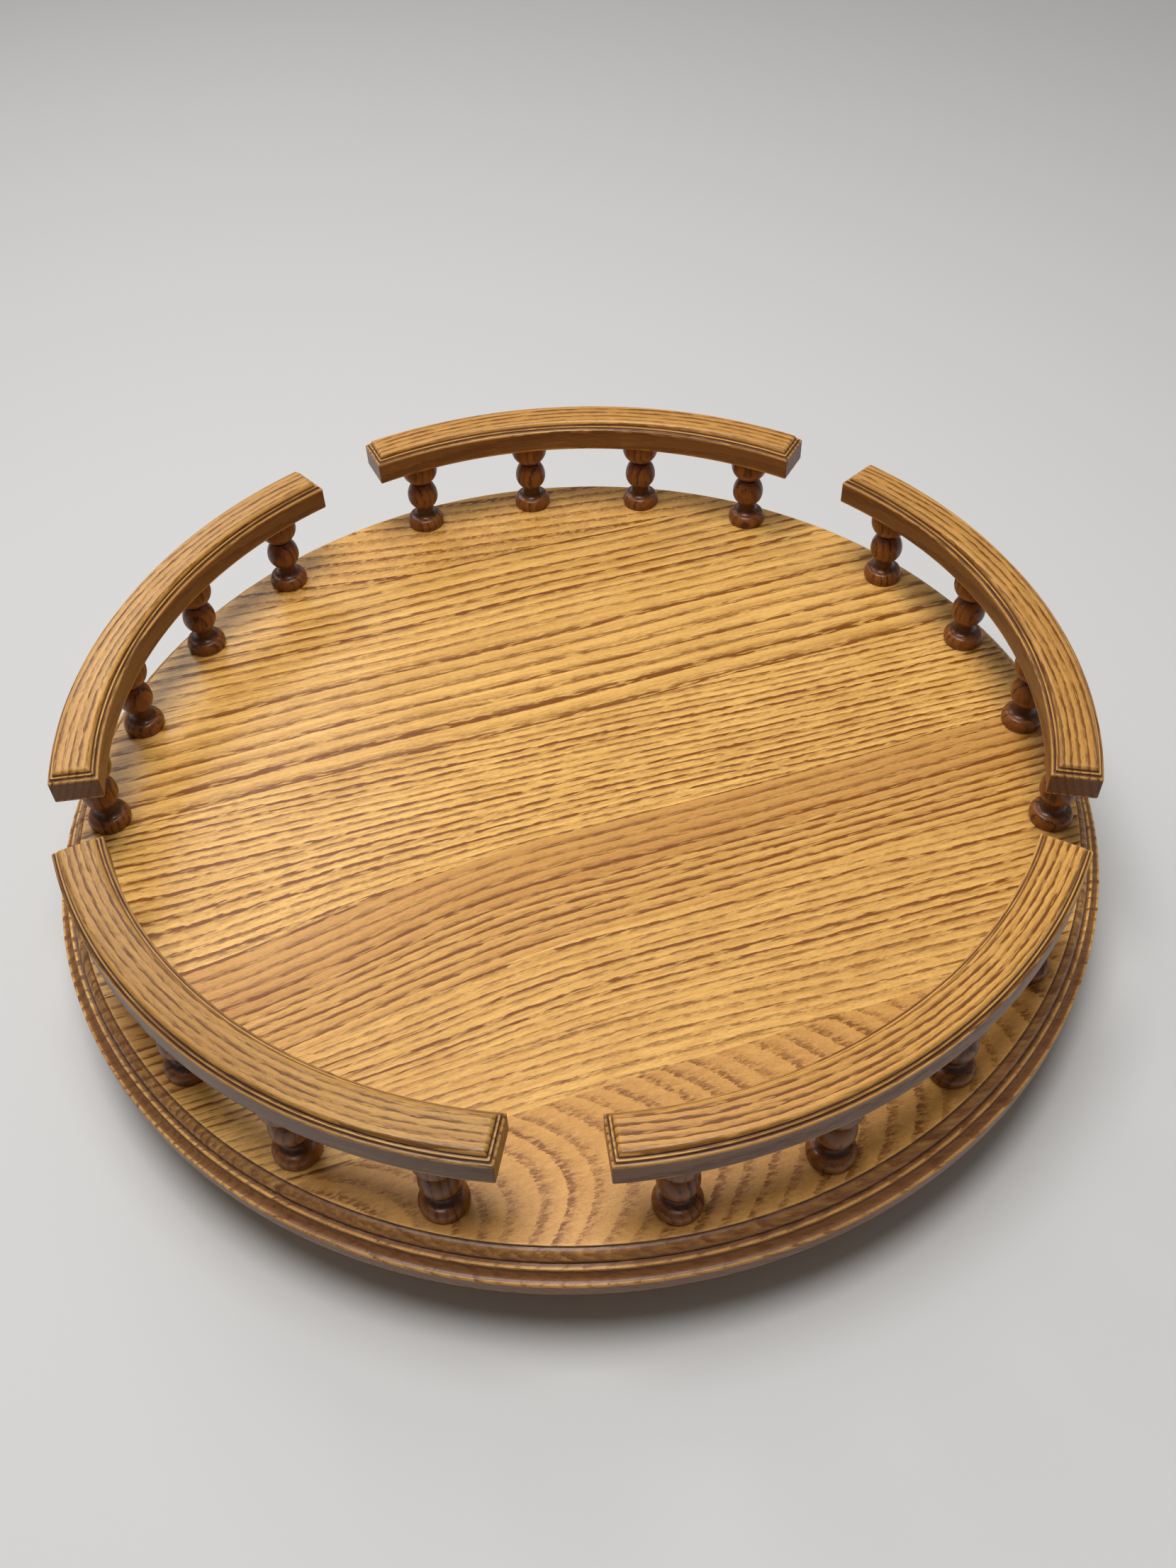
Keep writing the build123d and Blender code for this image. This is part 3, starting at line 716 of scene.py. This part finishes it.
def add_floor():
    corners = [(-FLOOR_HALF, -FLOOR_HALF, 0), (FLOOR_HALF, -FLOOR_HALF, 0), (FLOOR_HALF, FLOOR_HALF, 0),
               (-FLOOR_HALF, FLOOR_HALF, 0)]
    floor = make_object("floor", corners, [(0, 1, 2, 3)])
    paper = Nodes("floor_paper")
    paper.set(Base_Color=(*srgb(198, 197, 196), 1), Roughness=0.9)
    floor.data.materials.append(paper.material)


def add_softbox(name, place, size, power):
    """A round soft light at `place`, aimed at the middle of the turntable."""
    light = bpy.data.lights.new(name, "AREA")
    light.shape = "DISK"
    light.size = size
    light.energy = power
    lamp = bpy.data.objects.new(name, light)
    lamp.location = place
    aim = Vector((0.0, 0.0, 0.05)) - Vector(place)
    lamp.rotation_euler = aim.to_track_quat("-Z", "Y").to_euler()
    bpy.context.scene.collection.objects.link(lamp)


def add_world():
    """Soft light from all round, brighter from +Y than from the camera's side."""
    world = bpy.data.worlds.new("studio")
    world.use_nodes = True
    sky = world.node_tree
    direction = sky.nodes.new("ShaderNodeSeparateXYZ")
    sky.links.new(sky.nodes.new("ShaderNodeTexCoord").outputs["Generated"], direction.inputs[0])
    glow = sky.nodes.new("ShaderNodeMapRange")
    for socket, value in zip(list(glow.inputs)[1:5], (-0.9, 0.6, 0.10, 0.34)):
        socket.default_value = value
    sky.links.new(direction.outputs[1], glow.inputs[0])
    sky.links.new(glow.outputs[0], sky.nodes["Background"].inputs[1])
    sky.nodes["Background"].inputs[0].default_value = (1.0, 0.98, 0.95, 1)
    bpy.context.scene.world = world


def add_camera():
    data = bpy.data.cameras.new("camera")
    data.lens = 32.82
    data.sensor_width = 36.0
    camera = bpy.data.objects.new("camera", data)
    flat = cos(CAMERA_ELEVATION)
    outward = Vector((flat * cos(CAMERA_AZIMUTH), flat * sin(CAMERA_AZIMUTH), sin(CAMERA_ELEVATION)))
    eye = Vector((0, 0, TRAY_HIGH.z)) + CAMERA_DISTANCE * outward
    ahead = (CAMERA_AIM - eye).normalized()
    level = ahead.cross(Vector((0, 0, 1))).normalized()
    upright = level.cross(ahead)
    right = level * cos(CAMERA_ROLL) + upright * sin(CAMERA_ROLL)
    above = upright * cos(CAMERA_ROLL) - level * sin(CAMERA_ROLL)
    camera.matrix_world = Matrix.Translation(eye) @ Matrix((right, above, -ahead)).transposed().to_4x4()
    bpy.context.scene.collection.objects.link(camera)
    bpy.context.scene.camera = camera


add_floor()
add_softbox("key", (-0.1, -0.08, 1.45), 0.8, 20)
add_softbox("sheen", (-0.65, 0.95, 1.1), 0.7, 4.5)
add_world()
bpy.context.scene.view_settings.view_transform = "Standard"
add_camera()
